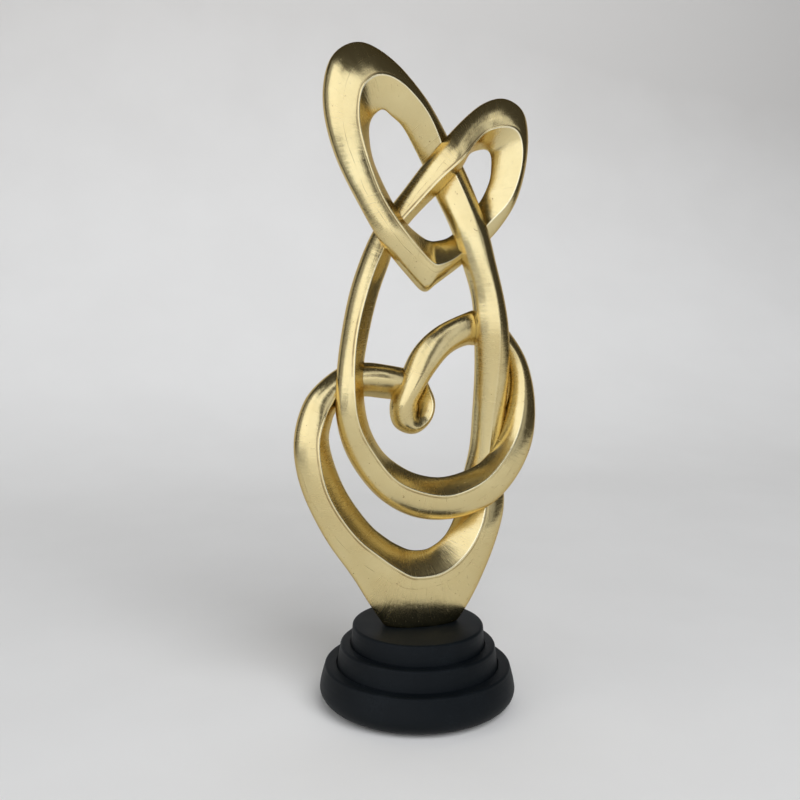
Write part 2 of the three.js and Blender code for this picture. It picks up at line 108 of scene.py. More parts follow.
# The ribbon's cuts in millimetres, from the tip of the scroll to the end of the link bar: outer
# edge x, z, inner edge x, z, place of the ridge as a share of the way in, layer (1 passes under,
# -1 passes over), crease (1 crisp, 0 round) and, where the face is turned, by how many degrees: a
# negative turn brings the outer edge forward and sets the inner edge back. Heights start at the
# lowest point of the foot, and each casting but the last ends at the joint of its last cut.
STRETCHES = {"scroll": [
    [4.6, 148.5, 0.9, 146.4, 0.4, 0.2, 0.4],
    [8.8, 137, -2.7, 138, 0.28, 0, 0.8],
    [6, 125, -2.4, 134.2, 0.33, 0, 0.7],
    [-4.6, 117.8, -2.6, 131.2, 0.42, -0.2, 0.3],
    [-16.8, 123.2, -3.3, 133, 0.45, -0.4, 0],
    [-20, 136.8, -3.5, 138.5, 0.4, -0.8, 0],
    [-15.5, 150, -0.5, 145.4, 0.5, -1, 0],
    [-7.1, 168.8, 7.1, 155.9, 0.62, -0.8, 0, -10],
    [6.6, 182.3, 17, 165.3, 0.66, -0.55, 0, -26],
    [25.7, 190.4, 28.4, 169, 0.66, 0, 0, -34],
    [35, 190.7, 35.5, 168.9, 0.63, 0.78, 0, -12],
    [44, 190.5, 44, 168.5, 0.6, 1, 0.1],
], "cradle": [
    [57, 176.9, 51, 160.5, 0.42, 0.9, 0.3],
    [67.4, 159.5, 55, 149, 0.45, 0.5, 0.3],
    [72.2, 136, 54.3, 132, 0.6, 0, 0.35],
    [69.6, 111.2, 49.5, 116.5, 0.71, -0.6, 0.8],
    [58.6, 89.6, 40.5, 103.5, 0.77, -1, 1],
    [42.2, 73, 30.5, 96.5, 0.73, -1, 1],
    [19, 65, 14, 91, 0.67, -0.5, 1],
    [-4.2, 66.9, -1, 92.8, 0.69, 0, 1],
    [-26.2, 80.4, -13.8, 99.7, 0.66, 0, 1],
    [-43.8, 104.4, -24.8, 110.2, 0.72, -0.2, 1],
    [-52, 129.6, -33.8, 129, 0.59, -0.8, 1],
    [-52, 155, -36.4, 156, 0.53, -1, 1],
    [-48.5, 179, -32.4, 179, 0.43, -0.6, 1],
    [-42.6, 203.4, -26, 201.2, 0.45, 0, 1],
    [-34, 225, -19, 217.6, 0.45, 0.6, 1],
    [-24.6, 241.9, -12.4, 233.6, 0.55, 1, 1],
], "heart_right": [
    [-12, 258.5, 0.8, 250, 0.6, 0.5, 1],
    [-0.4, 275.3, 12.6, 262.5, 0.6, -0.4, 1],
    [10.5, 289, 21.3, 273.4, 0.71, -1, 1],
    [24, 302, 26.9, 281, 0.74, -0.5, 1, -5],
    [36, 310.5, 33, 283.6, 0.63, 0, 1, -7],
    [47.7, 313.3, 38.3, 284.2, 0.58, 0, 1, -6],
    [58.9, 307.2, 41, 281.5, 0.45, 0, 1, -3],
    [62.9, 293.8, 41.4, 275.3, 0.33, 0, 1],
    [62.1, 275.2, 40.6, 266.7, 0.3, 0, 1],
    [57.5, 255.3, 37.3, 257.6, 0.345, 0.2, 1],
    [49.3, 239.9, 34, 251, 0.48, 0.7, 1],
    [37.5, 226.6, 29, 243.5, 0.55, 1, 1],
], "heart_left": [
    [22.7, 216.2, 17.5, 234, 0.44, 0.3, 1],
    [7.8, 206.2, 9, 231.7, 0.5, 0, 1],
    [1.5, 202, 4.5, 231.8, 0.6, 0, 1],
    [-6.2, 208.6, -0.9, 234.4, 0.66, -0.15, 1],
    [-26, 230.3, -12, 243, 0.74, -1, 1, -7],
    [-39, 252.9, -21, 258.6, 0.69, -0.5, 1, -9],
    [-50.5, 276.7, -29.2, 277.2, 0.76, 0, 1, -3],
    [-57.4, 300, -31.8, 291.5, 0.7, 0, 1],
    [-57.7, 320, -31.3, 298.6, 0.65, 0, 1, 4],
    [-51.4, 335.8, -28.6, 303, 0.575, 0, 1, 8],
    [-36.3, 342.5, -24.5, 305.2, 0.52, 0, 1, 10],
    [-18.8, 333.4, -19.1, 301.6, 0.385, 0, 1, 5],
    [-3.5, 317.6, -12.6, 296.4, 0.32, 0, 1],
    [7.5, 304.2, -5.6, 286.5, 0.31, 0.5, 1],
    [19.8, 284.7, 3.7, 270.8, 0.42, 1, 1],
], "stem": [
    [27.6, 268.6, 7.8, 258.6, 0.4, 0.4, 0.6],
    [37, 240.6, 15.7, 240, 0.4, -0.75, 0.25, -4],
    [42.4, 220.2, 22.3, 220.5, 0.41, -1, 0.2, -3],
    [47.6, 200, 28.6, 200, 0.4, -1.12, 0.35, -3],
    [51.2, 180.5, 30.5, 180.5, 0.42, -1.15, 0.4, -3],
    [54, 155, 33, 155, 0.5, -0.45, 0.4, -3],
    [54, 125, 33.6, 125, 0.57, 0.4, 0.4],
    [54, 106, 33.2, 106, 0.59, 0.8, 0.5],
    [54.5, 88.5, 29.5, 87.5, 0.57, 1, 0.8, -3],
], "foot_casting": [
    [54.5, 72, 25, 68, 0.53, 0.5, 1, -5],
    [50.7, 57, 19.4, 57.4, 0.54, 0, 1, -4],
    [43.7, 34.8, 14, 51.2, 0.6, 0, 1],
    [30.6, 7.8, 8, 47.2, 0.71, 0, 1],
    [13, -12, 3, 45.6, 0.78, 0, 1],
    [-10, -13, -5, 46, 0.78, 0, 1],
    [-27.4, 8.8, -12.2, 49.2, 0.74, 0, 1],
    [-41.3, 32, -20, 54.3, 0.67, 0, 1],
    [-57.8, 56.5, -31.4, 64.7, 0.57, 0, 1],
    [-72, 87.3, -46.3, 86.9, 0.52, 0, 1],
    [-76.3, 115, -55.2, 113.2, 0.61, 0, 1],
    [-70.6, 138, -53, 126.5, 0.63, 0.2, 1, -6],
    [-60.3, 150.6, -49.8, 131.5, 0.57, 0.6, 0.8, -16],
    [-46, 159.8, -45.5, 137, 0.42, 1, 0.3, -22],
], "link_bar": [
    [-33.5, 161.6, -33.5, 140, 0.45, 0.6, 0.1, -24],
    [-21.5, 160.2, -21.5, 138.4, 0.45, 0.4, 0, -30],
    [-9.5, 157.6, -9, 136.8, 0.45, 0.4, 0, -28],
]}
CUTS = np.array([(*cut, 0)[:8] for cuts in STRETCHES.values() for cut in cuts], float)

# Stretches that pass in front of others: casting, first and last cut counted from its start
FRONTS = {
    "over_lobe": ("cradle", 10, 14),
    "over_leg": ("cradle", 3, 9),
    "over_cradle": ("heart_left", 4, 8),
    "over_stem": ("heart_right", 1, 5),
    "over_tip": ("stem", 1, 4),
    "over_scroll": ("stem", 4, 7),
    "over_bar": ("scroll", 3, 9),
}
# What each casting is hollowed by: the stretches in front of it and the pins inside it
HOLLOWS = {
    "scroll": (("over_scroll",), ("scroll_dowel", "bar_dowel")),
    "cradle": (("over_scroll", "over_cradle"), ("scroll_dowel", "cradle_dowel")),
    "heart_right": (("over_cradle", "over_tip"), ("cradle_dowel", "tip_dowel")),
    "heart_left": (("over_tip", "over_stem"), ("tip_dowel", "stem_dowel")),
    "stem": (("over_stem", "over_leg"), ("stem_dowel", "leg_dowel")),
    "foot_casting": (("over_lobe", "over_leg"), ("stud", "turn_pin", "lobe_dowel", "leg_dowel")),
    "link_bar": (("over_lobe", "over_bar"), ("lobe_dowel", "bar_dowel")),
}
STEEL_NODES = ("stud", "washer", "nut", "turn_pin", "scroll_dowel", "cradle_dowel", "tip_dowel",
               "stem_dowel", "leg_dowel", "lobe_dowel", "bar_dowel")

# Upright light screens round the figure: heading and span in degrees as seen from the axis (0 is
# the front, right is positive), lower and upper edge in metres, brightness
SCREENS = {
    "far_left_screen": (-105, 26, -0.30, 1.50, 0.28),
    "left_screen": (-73, 38, -0.07, 1.60, 1.35),
    "left_low_screen": (-73, 38, -0.50, -0.07, 0.28),
    "front_left_screen": (-32.5, 43, -0.22, 1.30, 1.25),
    "front_low_screen": (-1.5, 19, -0.20, 0.14, 1.05),
    "front_top_screen": (3, 26, 0.95, 1.80, 0.85),
    "front_right_screen": (22, 28, -0.20, 1.20, 0.72),
    "right_screen": (46, 20, -0.10, 0.80, 0.35),
}
# Soft lights that reflections leave out: place, target, width and height in metres
PANELS = {
    "top_light": ((0.4, -2.0, 1.8), (0, 0.1, 0.1), (2.0, 2.0)),
    "wall_light": ((0.2, 0.70, 1.35), (0.35, 1.3, 0.40), (1.8, 0.5)),
}
LIGHT_TINT = (0.945, 0.975, 1.055)


def kind_of(setting, **fixed):
    """A short way to make one kind of setting from its name, description and default."""
    def make(name, description, default, **more):
        return setting(name=name, description=description, default=default, **fixed, **more)
    return make


length = kind_of(FloatProperty, unit="LENGTH", subtype="DISTANCE", precision=5)
number = kind_of(FloatProperty)
count = kind_of(IntProperty, min=2)
colour = kind_of(FloatVectorProperty, size=3, subtype="COLOR", min=0, max=1)
spot = kind_of(FloatVectorProperty, size=3, subtype="TRANSLATION", unit="LENGTH")


class RibbonSettings(PropertyGroup):
    """Sizes of the gilded castings."""

    depth: length("Depth", "Front to back where the ribbon is widest", 27 * MM)
    depth_reach: length("Depth reach", "Width over which a narrow stretch gains depth", 11 * MM)
    weave: length("Weave", "How far a stretch leaves the middle plane to pass another", 6.5 * MM)
    crown: number("Crown", "Exponent of the rounding from the outer edge to the ridge", 2.2)
    rod_crown: number("Rod crown", "The same where the ribbon is a round rod", 1.6)
    face_fall: number("Face fall", "Slope of that face, steeper where it is narrow", 0.5)
    bevel: number("Bevel", "Exponent of the fall from the ridge to the inner edge", 0.8)
    ridge_softness: number("Ridge softness", "Rounding of the ridge, in half depths", 0.05)
    bead: length("Bead", "Height of the fine bead along the ridge", 0.16 * MM)
    bead_width: length("Bead width", "From the middle of the bead to where it fades", 0.65 * MM)
    bead_reach: length("Bead reach", "From the ridge to where the points lie wider apart", 2 * MM)
    flow: number("Flow", "Reach of the averaging along the edges, in cuts", 0.2)
    gap: length("Gap", "Between two castings that seat in each other", 0.12 * MM)
    hole_gap: length("Hole gap", "All round a pin in its hole", 0.3 * MM)
    foot_rounding: length("Foot rounding", "Rounding of the edge on the plinth", 0.7 * MM)
    rings_per_cut: count("Rings per cut", "Rings between two cuts", 12)
    outer_steps: count("Outer steps", "Steps from the outer edge to the ridge", 24)
    bead_steps: count("Bead steps", "Steps on either side of the ridge's bead", 9)
    inner_steps: count("Inner steps", "Steps from the ridge to the inner edge", 20)


class PlinthSettings(PropertyGroup):
    """Sizes of the turned discs and the felt under them."""

    floor_radius: length("Floor radius", "Lower disc where it meets the felt", 50 * MM)
    wide_height: length("Height of the bulge", "Widest place above the underside", 9 * MM)
    lower_top_radius: length("Lower top radius", "Lower disc at its rim", 57 * MM)
    middle_bottom_radius: length("Middle foot radius", "Middle disc in its seat", 49.5 * MM)
    middle_top_radius: length("Middle top radius", "Middle disc at its rim", 47.5 * MM)
    upper_bottom_radius: length("Upper foot radius", "Upper disc in its seat", 41 * MM)
    upper_top_radius: length("Upper top radius", "Upper disc at its rim", 40 * MM)
    rim_rounding: length("Rim rounding", "Radius of the discs' upper edges", 1.6 * MM)
    socket_depth: length("Socket depth", "How deep each disc sits in the next", 2 * MM)
    socket_groove: length("Socket groove", "Shadow line round a seated disc", 0.3 * MM)
    stud_hole_radius: length("Stud hole radius", "Hole through the discs", 4.3 * MM)
    pocket_radius: length("Pocket radius", "Pocket for washer and nut", 12.3 * MM)
    pocket_depth: length("Pocket depth", "Pocket for washer and nut", 12 * MM)
    around: count("Steps around", "Steps round the turned pieces", 160)


class FinishSettings(PropertyGroup):
    """Colours of the finishes."""

    leaf_pale: colour("Pale leaf", "Fresh gold leaf", (0.80, 0.675, 0.36))
    leaf_warm: colour("Warm leaf", "Thin or toned gold leaf", (0.70, 0.55, 0.255))
    # Painted highlight: pale leaf laid along the ridges for the thin light line there
    leaf_ridge_highlight: colour("Rubbed leaf", "Gold leaf polished along the ridges", (0.97, 0.89, 0.62))
    # Also the colour of the painted shade in the groove beside the ridge
    leaf_ground_and_shade: colour("Worn leaf", "Ground that shows at seams and specks", (0.20, 0.11, 0.04))
    lacquer: colour("Lacquer", "Black lacquer of the discs", (0.0035, 0.0050, 0.0062))
    lacquer_dusty: colour("Dusty lacquer", "Lacquer under a trace of dust", (0.009, 0.0115, 0.0135))
    felt: colour("Felt", "Felt fibres", (0.016, 0.019, 0.018))
    felt_fuzz: colour("Felt fuzz", "Raised felt fibres", (0.05, 0.056, 0.053))
    steel: colour("Steel", "Plated steel", (0.55, 0.56, 0.58))
    steel_dull: colour("Dull steel", "Plated steel in the hollows", (0.36, 0.37, 0.39))
    paper: colour("Paper", "Backdrop paper", (0.825, 0.81, 0.765))
    # Painted shade of the upper wall
    paper_painted_shade: colour("High paper", "Backdrop paper in the fading light above", (0.60, 0.58, 0.54))


class StageSettings(PropertyGroup):
    """Camera, backdrop and lights."""

    lens: number("Lens", "Focal length on a 36 mm sensor", 54.15, unit="CAMERA")
    camera_place: spot("Camera place", "Where the camera stands", (-0.19405, -0.6767, 0.3104))
    heading: number("Heading", "Camera's turn from +Y to +X", math.radians(15.02), subtype="ANGLE")
    pitch: number("Pitch", "Camera's tilt below the horizon", math.radians(9.82), subtype="ANGLE")
    roll: number("Roll", "Camera's turn about its own line", math.radians(0.48), subtype="ANGLE")
    screens: length("Screens", "From the axis to the upright light screens", 1.3)
    top_light: number("Top light", "Power of the light above the floor in watts", 58.0)
    wall_light: number("Wall light", "Power of the light on the backdrop in watts", 5.8)
    surround: number("Surround", "Strength of the dim room all round", 0.06)
    room: colour("Room", "Colour of the dim room", (0.92, 0.86, 0.74))
    ground: colour("Ground", "Plain ground where a view looks past the paper", (0.60, 0.62, 0.63))


class SculptureSettings(PropertyGroup):
    """All settings of the sculpture."""

    ribbon: PointerProperty(type=RibbonSettings)
    plinth: PointerProperty(type=PlinthSettings)
    finish: PointerProperty(type=FinishSettings)
    stage: PointerProperty(type=StageSettings)


# Meshes


def signed_volume(points, faces):
    """Sixfold volume of a closed quad surface: the triple products of each quad's two halves."""
    a, b, c, d = (points[faces[:, k]] for k in range(4))
    return float((a * np.cross(b, c)).sum() + (a * np.cross(c, d)).sum())


def fan_volume(ring):
    """Sixfold volume between a flat polygon and the origin: the triple products of its fan of
    triangles about the first point."""
    return float((ring[0] * np.cross(ring[1:-1], ring[2:])).sum())


def grid_quads(rows, around, closed):
    """Quads between neighbours in a stack of rings. If closed, the last ring joins the first."""
    i, j = np.meshgrid(np.arange(rows if closed else rows - 1), np.arange(around), indexing="ij")
    m, n = (i + 1) % rows, (j + 1) % around
    corners = [i * around + j, i * around + n, m * around + n, m * around + j]
    return np.stack(corners, -1).reshape(-1, 4)


def tube_mesh(name, rings, fold=0, beads=0.0):
    """A closed tube from rings of points: quads join each ring to the next, and one flat polygon
    closes each end. One UV map holds metres: along the tube, and round it both ways from the fold,
    alike on the front and the back. The other holds the bead's share of its height."""
    rows, around = rings.shape[:2]
    points = rings.reshape(-1, 3)
    quads = grid_quads(rows, around, closed=False)
    step = np.linalg.norm(np.diff(rings.mean(1), axis=0), axis=1)
    along = np.broadcast_to(np.concatenate([[0], np.cumsum(step)])[:, None], (rows, around))
    side = np.linalg.norm(np.diff(rings[:, :around // 2 + 1], axis=1), axis=2)
    front = np.concatenate([np.zeros((rows, 1)), np.cumsum(side, 1)], 1)
    front -= front[:, fold:fold + 1]
    round_it = np.concatenate([front, front[:, -2:0:-1]], 1)
    bead = np.broadcast_to(beads, (rows, around))
    start, end = np.arange(around), (rows - 1) * around + np.arange(around)
    if signed_volume(points, quads) - fan_volume(rings[0]) + fan_volume(rings[-1]) < 0:
        quads, end = quads[:, ::-1], end[::-1]
    else:
        start = start[::-1]
    mesh = bpy.data.meshes.new(name)
    mesh.from_pydata(points, [], [*quads.tolist(), start.tolist(), end.tolist()])
    corner = np.concatenate([quads.ravel(), start, end])
    for title, values in ((STRAND_MAP, (along, round_it)), (BEAD_MAP, (bead, bead))):
        layer = mesh.uv_layers.new(name=title)
        pairs = np.stack([part.ravel() for part in values], -1)[corner]
        layer.uv.foreach_set("vector", pairs.ravel())
    mesh.validate()
    return mesh


def lathe_mesh(name, outline, around):
    """A turned solid: a closed outline of radii and heights carried round the Z axis."""
    angle = np.arange(around) * (2 * math.pi / around)
    rings = np.stack([
        outline[:, 0] * np.cos(angle)[:, None],
        outline[:, 0] * np.sin(angle)[:, None],
        np.broadcast_to(outline[:, 1], (around, len(outline))),
    ], -1)
    points = rings.reshape(-1, 3)
    quads = grid_quads(around, len(outline), closed=True)
    if signed_volume(points, quads) < 0:
        quads = quads[:, ::-1]
    mesh = bpy.data.meshes.new(name)
    mesh.from_pydata(points, [], quads.tolist())
    return mesh


def place_object(name, data):
    """An object for a mesh, light or camera, at the origin and unturned."""
    made = bpy.data.objects.new(name, data)
    bpy.context.scene.collection.objects.link(made)
    return made


def turned_piece(name, outline, around):
    """An object turned from an outline, with no side of it too long."""
    return place_object(name, lathe_mesh(name, spread(outline, TURNED_SIDE), around))


def hollow(piece, tools):
    """Takes the tools' solids out of a piece, dissolves the slivers that the cuts leave and removes
    the tools."""
    for tool in tools:
        change = piece.modifiers.new(tool.name, "BOOLEAN")
        change.operation = "DIFFERENCE"
        change.solver = "MANIFOLD"
        change.object = tool
    bpy.context.view_layer.update()
    graph = bpy.context.evaluated_depsgraph_get()
    carved = bpy.data.meshes.new_from_object(piece.evaluated_get(graph))
    cuts = bmesh.new()
    cuts.from_mesh(carved)
    bmesh.ops.dissolve_degenerate(cuts, dist=SLIVER, edges=cuts.edges)
    cuts.to_mesh(carved)
    cuts.free()
    piece.modifiers.clear()
    plain = piece.data
    carved.name = plain.name + "_carved"
    piece.data = carved
    bpy.data.meshes.remove(plain)
    for tool in tools:
        bpy.data.meshes.remove(tool.data)


def shade(mesh, sharp_degrees):
    """Smooth shading that stops at edges sharper than an angle."""
    mesh.polygons.foreach_set("use_smooth", np.ones(len(mesh.polygons), bool))
    mesh.set_sharp_from_angle(angle=math.radians(sharp_degrees))
    mesh.update()


def finish_piece(piece, material, slot, *nodes):
    """Gives a piece its finish, lets it ride on the part and stand for its solids."""
    if len(piece.data.polygons) == 0:
        raise RuntimeError(f"{piece.name} came out empty")
    piece.data.materials.clear()
    piece.data.materials.append(material)
    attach(piece, "root")
    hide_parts(*nodes)


# Ribbon


def rail(points, places):
    """A line through points, at places counted in points: between two points it is the cubic
    whose slope at each is half the step between that point's neighbours."""
    reach = np.vstack([2 * points[0] - points[1], points, 2 * points[-1] - points[-2]])
    start = np.clip(np.floor(places).astype(int), 0, len(points) - 2)
    t = (places - start)[:, None]
    before, here, there, after = (reach[start + k] for k in range(4))
    leave, arrive = (there - before) / 2, (after - here) / 2
    square = 3 * (there - here) - 2 * leave - arrive
    cube = 2 * (here - there) + leave + arrive
    return here + t * (leave + t * (square + t * cube))


def flowing_rail(points, places, flow):
    """The rail averaged over its near places with a bell of weights, so that it bends evenly."""
    steps = np.linspace(-BELL_REACH, BELL_REACH, BELL_PLACES)
    weights = np.exp(-steps ** 2 / 2)
    total = sum(w * rail(points, places + s * flow) for s, w in zip(steps, weights))
    return total / weights.sum()


def half_outline(ridge, crease, width, settings):
    """Front half of the section as shares of the way in and of the half depth, and metres from the
    ridge. The rise is the smaller of a crown and a bevel, softly joined. The crown is a rounded
    power curve up to the ridge, flat after it, times a slope that falls towards the outer edge
    and fades with the crease. The bevel is a power curve down from the ridge to the inner edge,
    or a quarter round where the crease fades. Places lie close together at the ridge."""
    ridge, crease, width = ridge[:, None], crease[:, None], width[:, None]
    outside = np.minimum(settings.bead_reach / width, ridge / 2)
    inside = np.minimum(settings.bead_reach / width, (1 - ridge) / 2)
    q = np.linspace(0, 1, settings.outer_steps, endpoint=False)
    angle = (1 - (1 - q) ** 2) * (math.pi / 2)
    way_up = (ridge - outside) * (1 - np.cos(angle) ** (2 / settings.crown))
    close = np.linspace(-1, 1, 2 * settings.bead_steps, endpoint=False)
    way_near = ridge + close * np.where(close < 0, outside, inside)
    down = np.linspace(0, 1, settings.inner_steps + 1)[None, :]
    way_down = ridge + inside + (1 - ridge - inside) * np.sin(down ** WALL_SPACING * (math.pi / 2))
    way = np.concatenate([way_up, way_near, way_down], 1)
    up = np.clip(way / ridge, 0, 1)
    power = settings.rod_crown + (settings.crown - settings.rod_crown) * crease
    crown = (1 - (1 - up) ** power) ** (1 / power)
    crown = crown * (1 - settings.face_fall * crease * (1 - ridge) * (1 - up))
    run = np.clip((way - ridge) / (1 - ridge), -1, 1)
    kept = np.clip(1 - run, 0, 2)
    bevel = crease * kept ** settings.bevel + (1 - crease) * np.sqrt(1 - np.clip(run, 0, 1) ** 2)
    soft = np.maximum(settings.ridge_softness * crease, LEAST_SOFTNESS)
    near = np.clip(1 - np.abs(crown - bevel) / soft, 0, 1)
    return way, np.minimum(crown, bevel) - near ** 2 * soft / 4, (way - ridge) * width


def ribbon_rings(places, grow, settings):
    """Rings of points round the ribbon: the section's front half and its mirror image at the
    back, set between the two edges. The half depth nears its full size as one less the falling
    exponential of the width. A turned face has its edges moved along Y, by half the width times
    the turn's tangent. A thin bead with a groove outside it, each the bell curve of the way from
    its middle, runs along the ridge; its share at each point is given too."""
    layer = CUTS[:, 5] * settings.weave
    span = np.hypot(CUTS[:, 2] - CUTS[:, 0], CUTS[:, 3] - CUTS[:, 1]) * MM
    lean = span / 2 * np.tan(np.radians(CUTS[:, 7]))
    outer_points = np.stack([CUTS[:, 0] * MM, layer + lean, CUTS[:, 1] * MM + FOOT_BASE], 1)
    inner_points = np.stack([CUTS[:, 2] * MM, layer - lean, CUTS[:, 3] * MM + FOOT_BASE], 1)
    outer = flowing_rail(outer_points, places, settings.flow)
    inner = flowing_rail(inner_points, places, settings.flow)
    form = flowing_rail(CUTS[:, [4, 6]], places, settings.flow)
    across = inner - outer
    width = np.linalg.norm(across, axis=1)
    half_depth = settings.depth / 2 * (1 - np.exp(-width / settings.depth_reach)) + grow
    outer = outer - across * (grow / width)[:, None]
    across = across * (1 + 2 * grow / width)[:, None]
    ridge, crease = np.clip(form[:, 0], RIDGE_LOW, RIDGE_HIGH), np.clip(form[:, 1], 0, 1)
    way, rise, apart = half_outline(ridge, crease, width, settings)
    thin = settings.bead_width
    groove = np.exp(-((apart + GROOVE_WAY * thin) / thin) ** 2)
    bead = np.exp(-(apart / thin) ** 2) - GROOVE_SHARE * groove
    bead *= crease[:, None]
    rise = rise * half_depth[:, None] + settings.bead * bead
    front = outer[:, None] + way[..., None] * across[:, None]
    back = front[:, -2:0:-1].copy()
    front[..., 1] -= rise
    back[..., 1] += rise[:, -2:0:-1]
    return np.concatenate([front, back], 1), np.concatenate([bead, bead[:, -2:0:-1]], 1)


def reach_of(name):
    """First and last cut of a casting, counted along the whole ribbon."""
    counts = [len(cuts) for cuts in STRETCHES.values()]
    at = list(STRETCHES).index(name)
    return max(sum(counts[:at]) - 1, 0), sum(counts[:at + 1]) - 1


def ridge_point(settings):
    """Number of the ridge's point in a ring, counted from the outer edge."""
    return settings.outer_steps + settings.bead_steps


def stretch_places(first, last, settings):
    """Even places between two cuts, with a set number to each cut."""
    return np.linspace(first, last, int(round((last - first) * settings.rings_per_cut)) + 1)


def rounded_tip(rings, beads, steps=TIP_RINGS):
    """Rings that close the ribbon's first end with half a round: each is smaller than the last
    and lies further out, along a quarter circle as high as the end is thick."""
    middle = rings[0].mean(0)
    outward = middle - rings[1].mean(0)
    outward /= np.linalg.norm(outward)
    height = np.linalg.norm(rings[0] - middle, axis=1).mean()
    angle = np.linspace(TIP_START, 1, steps, endpoint=False)[:, None, None] * (math.pi / 2)
    cap = middle + (rings[0] - middle) * np.sin(angle) + outward * height * np.cos(angle)
    return np.concatenate([cap, rings]), np.concatenate([np.repeat(beads[:1], steps, 0), beads])


def casting_rings(name, settings):
    """Rings of one casting, its joint ends drawn back by half a gap and its foot set flat: a
    height over the seat becomes half its sum with the root of its square and the rounding's
    square, so heights below the plinth's top are lifted to it with a soft turn at the wall."""
    rings, beads = ribbon_rings(stretch_places(*reach_of(name), settings), 0, settings)
    middles = rings.mean(1)
    for end, inner in ((0, 1), (-1, -2)):
        inward = middles[inner] - middles[end]
        rings[end] += inward / np.linalg.norm(inward) * (settings.gap / 2)
    if name == "scroll":
        rings, beads = rounded_tip(rings, beads)
    if name == "foot_casting":
        low = FOOT_SEAT + settings.gap
        over = rings[..., 2] - low
        soft = settings.foot_rounding
        lifted = (over + np.sqrt(over ** 2 + soft ** 2)) / 2
        rings[..., 2] = np.where(over > FOOT_TURN * soft, rings[..., 2], low + lifted)
    return rings, beads


def front_tool(name, settings):
    """The room that a stretch in front takes, larger than the stretch by the gap."""
    casting, first, last = FRONTS[name]
    start = reach_of(casting)[0]
    places = stretch_places(start + first, start + last, settings)
    rings, beads = ribbon_rings(places, settings.gap, settings)
    return place_object(name, tube_mesh(name, rings, ridge_point(settings), beads))


def pin_tool(node, settings):
    """The hole for a pin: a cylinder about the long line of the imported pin, larger than the pin by
    the hole's gap. The long line is the direction in which the pin's points spread most."""
    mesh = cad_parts[node].data
    points = np.empty(len(mesh.vertices) * 3)
    mesh.vertices.foreach_get("co", points)
    points = np.unique(points.reshape(-1, 3).round(POINT_DIGITS), axis=0)
    middle = (points.min(0) + points.max(0)) / 2
    line = np.linalg.svd(points - middle, full_matrices=False)[2][0]
    along = (points - middle) @ line
    radius = np.linalg.norm(points - middle - along[:, None] * line, axis=1).max()
    side = np.cross(line, [0.0, 1.0, 0.0] if abs(line[1]) < ALONG_Y else [1.0, 0.0, 0.0])
    side /= np.linalg.norm(side)
    angle = np.arange(PIN_SIDES) * (2 * math.pi / PIN_SIDES)
    turn = np.cos(angle)[:, None] * side + np.sin(angle)[:, None] * np.cross(line, side)
    ends = np.array([along.min() - settings.hole_gap, along.max() + settings.hole_gap])
    rings = middle + ends[:, None, None] * line + turn * (radius + settings.hole_gap)
    return place_object(node + "_hole", tube_mesh(node + "_hole", rings))


# Plinth


def rounded_rim(radius, top, rounding, steps=RIM_STEPS):
    """A quarter circle from the wall up to the top face."""
    angle = np.linspace(0, math.pi / 2, steps)
    return np.stack([radius - rounding + rounding * np.cos(angle),
                     top - rounding + rounding * np.sin(angle)], 1)


def spread(points, longest):
    """A closed outline with extra points, so that no side is longer than a given length."""
    following = np.roll(points, -1, 0)
    parts = np.ceil(np.linalg.norm(following - points, axis=1) / longest).astype(int).clip(1)
    start = np.repeat(points, parts, 0)
    step = np.repeat((following - points) / parts[:, None], parts, 0)
    order = np.arange(parts.sum()) - np.repeat(np.cumsum(parts) - parts, parts)
    return start + step * order[:, None]


def socket(radius, top, settings):
    """The step down from a disc's top face to the seat of the next disc, and in to the hole."""
    wall, seat = radius + settings.socket_groove, top - settings.socket_depth
    return [[wall + SOCKET_LIP, top], [wall, top - SOCKET_LIP], [wall, seat],
            [settings.stud_hole_radius, seat]]


def disc_outlines(settings):
    """Closed outlines of the three discs as radii and heights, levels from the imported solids. The
    lower disc bulges in a quarter ellipse, and its wall leans in above by a power of the rise."""
    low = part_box("plinth_lower_disc")
    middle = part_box("plinth_middle_disc")
    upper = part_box("plinth_upper_disc")
    hole, pocket = settings.stud_hole_radius, settings.pocket_radius
    angle = np.linspace(0, math.pi / 2, BULGE_STEPS)
    bulge = np.stack([
        settings.floor_radius + (low[1].x - settings.floor_radius) * np.sin(angle),
        low[0].z + settings.wide_height * (1 - np.cos(angle)),
    ], 1)
    pocket_top = low[0].z + settings.pocket_depth
    rise = np.linspace(0, 1, WALL_STEPS)[1:-1, None]
    rim = rounded_rim(settings.lower_top_radius, low[1].z, settings.rim_rounding)
    wall = bulge[-1] + (rim[0] - bulge[-1]) * np.concatenate([rise ** WALL_HOLLOW, rise], 1)
    return {
        "plinth_lower_disc": np.vstack([
            [[pocket, low[0].z]], bulge, wall, rim,
            socket(settings.middle_bottom_radius, low[1].z, settings),
            [[hole, pocket_top], [pocket, pocket_top]],
        ]),
        "plinth_middle_disc": np.vstack([
            [[hole, middle[0].z], [settings.middle_bottom_radius, middle[0].z]],
            rounded_rim(settings.middle_top_radius, middle[1].z, settings.rim_rounding),
            socket(settings.upper_bottom_radius, middle[1].z, settings),
        ]),
        "plinth_upper_disc": np.vstack([
            [[hole, upper[0].z], [settings.upper_bottom_radius, upper[0].z]],
            rounded_rim(settings.upper_top_radius, upper[1].z, settings.rim_rounding),
            [[hole, upper[1].z]],
        ]),
    }


# Finishes


